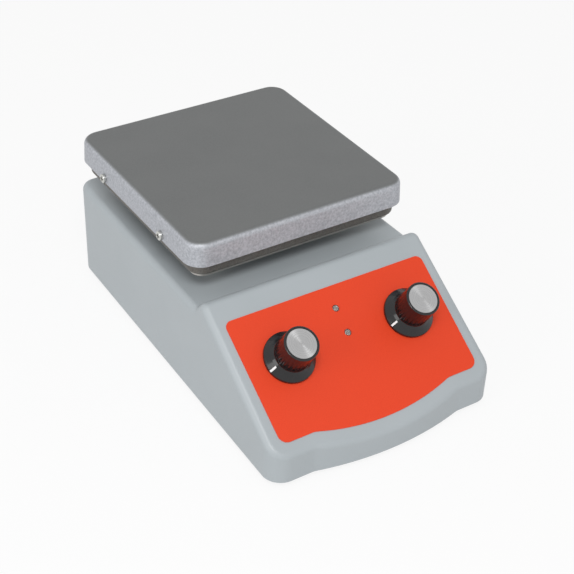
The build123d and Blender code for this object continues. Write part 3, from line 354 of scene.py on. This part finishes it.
def heat_darkened_steel():
    """Sheet steel of the pan, browned by heat, with a rough scale."""
    finish = Finish("pan_steel", metallic=0.6)
    scale = finish.noise(0.7 * MM, detail=4, roughness=0.7)
    streak = finish.noise(1.5 * MM, detail=2, stretch=(1, 1, 5))
    colour = finish.mix(finish.fill(scale), (0.085, 0.080, 0.074), (0.21, 0.20, 0.185))
    colour = finish.mix(finish.span(streak, 0.4, 0.7, 0, 0.4), colour, (0.15, 0.13, 0.11))
    finish.set("Base Color", colour)
    finish.set("Roughness", finish.fill(scale, 0.42, 0.62))
    finish.bump(scale, 0.06 * MM, 0.6)
    return finish


def knob_plastic():
    """Glossy black moulding with faint handling marks."""
    finish = Finish("knob_plastic", Specular_IOR_Level=0.4, Coat_Weight=0.12, Coat_Roughness=0.06)
    fine = finish.noise(0.5 * MM, detail=2)
    smear = finish.noise(6 * MM, detail=3, roughness=0.6)
    colour = finish.mix(finish.fill(fine), (0.006, 0.006, 0.007), (0.012, 0.012, 0.013))
    finish.set("Base Color", colour)
    finish.set("Roughness", finish.span(smear, 0.35, 0.7, 0.12, 0.24))
    finish.bump(fine, 0.004 * MM, 0.4)
    return finish


def spun_cap(name, centre, axis):
    """Aluminium disc turned about its own centre, so that it shines in two opposite wedges."""
    finish = Finish(name, metallic=1.0, Anisotropic=0.85)
    arm = finish.vector("SUBTRACT", finish.place, tuple(centre))
    radius = finish.vector("LENGTH", arm)
    around = finish.vector("NORMALIZE", finish.vector("CROSS_PRODUCT", tuple(axis), arm))
    rings = finish.add("ShaderNodeTexNoise", noise_dimensions="1D")
    finish.feed(rings.inputs["W"], radius)
    finish.feed(rings.inputs["Scale"], 1 / (0.22 * MM))
    finish.feed(rings.inputs["Detail"], 3.0)
    groove = rings.outputs["Fac"]
    colour = finish.mix(finish.fill(groove), (0.34, 0.34, 0.345), (0.52, 0.52, 0.52))
    finish.set("Base Color", colour)
    finish.set("Roughness", finish.fill(groove, 0.22, 0.34))
    finish.set("Tangent", around)
    finish.bump(groove, 0.006 * MM, 0.5)
    return finish


def clear_lens():
    """Clear lamp body, faintly milky inside."""
    finish = Finish("lens", roughness=0.08, IOR=1.5, Transmission_Weight=0.75)
    haze = finish.noise(0.8 * MM, detail=2)
    colour = finish.mix(finish.fill(haze), (0.80, 0.80, 0.77), (0.90, 0.89, 0.86))
    finish.set("Base Color", colour)
    return finish


def fuse_tube():
    """Clear glass tube of the fuse."""
    finish = Finish("fuse_glass", IOR=1.48, Transmission_Weight=0.95)
    ripple = finish.noise(3 * MM, detail=1)
    colour = finish.mix(finish.fill(ripple), (0.93, 0.96, 0.95), (0.97, 0.99, 0.98))
    finish.set("Base Color", colour)
    finish.set("Roughness", finish.fill(ripple, 0.02, 0.05))
    return finish


def circuit_board():
    """Green laminate with the weave of its glass cloth and lighter green tracks."""
    finish = Finish("circuit_board", Specular_IOR_Level=0.5)
    weave = finish.noise(0.9 * MM, detail=1, stretch=(1, 3, 1))
    tracks = finish.noise(4 * MM, detail=1, stretch=(3, 1, 1))
    cloth = finish.span(weave, 0.35, 0.65)
    colour = finish.mix(cloth, (0.014, 0.085, 0.030), (0.022, 0.115, 0.042))
    colour = finish.mix(finish.span(tracks, 0.52, 0.56, 0, 0.55), colour, (0.035, 0.18, 0.07))
    finish.set("Base Color", colour)
    finish.set("Roughness", finish.fill(weave, 0.28, 0.40))
    return finish


def wound_wire():
    """Enamelled copper wire, wound in level turns."""
    finish = Finish("copper", metallic=0.85)
    wave = finish.add("ShaderNodeTexWave", wave_type="BANDS", bands_direction="Z")
    finish.feed(wave.inputs["Vector"], finish.place)
    finish.feed(wave.inputs["Scale"], 1 / (2.5 * MM))
    finish.feed(wave.inputs["Distortion"], 0.3)
    turns = wave.outputs["Fac"]
    # The grooves between turns are painted darker, as painted shade, and the crowns lighter
    finish.set("Base Color", finish.mix(turns, (0.30, 0.10, 0.035), (0.62, 0.26, 0.10)))
    finish.set("Roughness", finish.span(turns, 0, 1, 0.40, 0.25))
    finish.bump(turns, 0.10 * MM, 0.8)
    return finish


METALS = {
    "zinc_steel": ((0.60, 0.60, 0.57), 0.30, {}),
    "shield_aluminium": ((0.50, 0.48, 0.45), 0.42, {"stretch": (8, 1, 1)}),
    "sheet_steel": ((0.52, 0.53, 0.54), 0.36, {"grain": 1.5 * MM}),
    "heating_strip": ((0.40, 0.38, 0.36), 0.38, {"stretch": (6, 1, 1)}),
    "motor_steel": ((0.56, 0.56, 0.54), 0.32, {"stretch": (1, 1, 6)}),
    "bronze": ((0.48, 0.32, 0.14), 0.45, {"grain": 0.3 * MM}),
    "machined_aluminium": ((0.66, 0.66, 0.67), 0.28, {"grain": 0.3 * MM, "stretch": (1, 1, 0.5)}),
    "brass": ((0.68, 0.52, 0.22), 0.26, {}),
}

MOULDINGS = {
    "mica": ((0.52, 0.45, 0.32), 0.35, {"grain": 1.2 * MM}),
    "fibre": ((0.84, 0.82, 0.78), 0.95, {"grain": 0.6 * MM, "depth": 0.15 * MM}),
    "ceramic": ((0.80, 0.75, 0.66), 0.45, {}),
    "rubber": ((0.022, 0.022, 0.023), 0.75, {"depth": 0.03 * MM}),
    "black_plastic": ((0.020, 0.020, 0.022), 0.42, {"depth": 0.015 * MM}),
    "white_inlay": ((0.82, 0.82, 0.82), 0.45, {}),
    "ferrite": ((0.045, 0.045, 0.048), 0.55, {"grain": 0.3 * MM, "depth": 0.02 * MM}),
}

SPECIAL = {
    "cast_plate": cast_plate,
    "painted_casting": painted_casting,
    "overlay": overlay,
    "pan_steel": heat_darkened_steel,
    "knob_plastic": knob_plastic,
    "lens": clear_lens,
    "fuse_glass": fuse_tube,
    "circuit_board": circuit_board,
    "copper": wound_wire,
}


def finish_of(slot):
    """The finish of a material slot: colour and roughness, with its own grain where it has one."""
    if slot in METALS:
        colour, roughness, grain = METALS[slot]
        return plain_metal(slot, colour, roughness, **grain)
    if slot in MOULDINGS:
        colour, roughness, grain = MOULDINGS[slot]
        return moulded(slot, colour, roughness, **grain)
    return SPECIAL[slot]()


def dress_nodes():
    """Every node takes its slot's finish; each turned cap has one centred on itself."""
    made = {}
    normal = Vector((0, -math.sin(PANEL_SLOPE), math.cos(PANEL_SLOPE)))
    for part in frame["record"]["subparts"]:
        name, slot = part["node"], part["material_slot"]
        if slot == "spun_aluminium":
            low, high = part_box(name)
            finish = spun_cap("spun_" + name, (low + high) / 2, normal)
        else:
            if slot not in made:
                made[slot] = finish_of(slot)
            finish = made[slot]
        mesh = nodes[name].data
        mesh.materials.clear()
        mesh.materials.append(finish.material)


make_camera()
make_world()
make_floor()
area_light("key", KEY_AZIMUTH, KEY_ELEVATION, KEY_DISTANCE, KEY_SIZE, KEY_POWER)
area_light("fill", FILL_AZIMUTH, FILL_ELEVATION, FILL_DISTANCE, FILL_SIZE, FILL_POWER)
dress_nodes()

bpy.context.scene.view_settings.view_transform = "Standard"
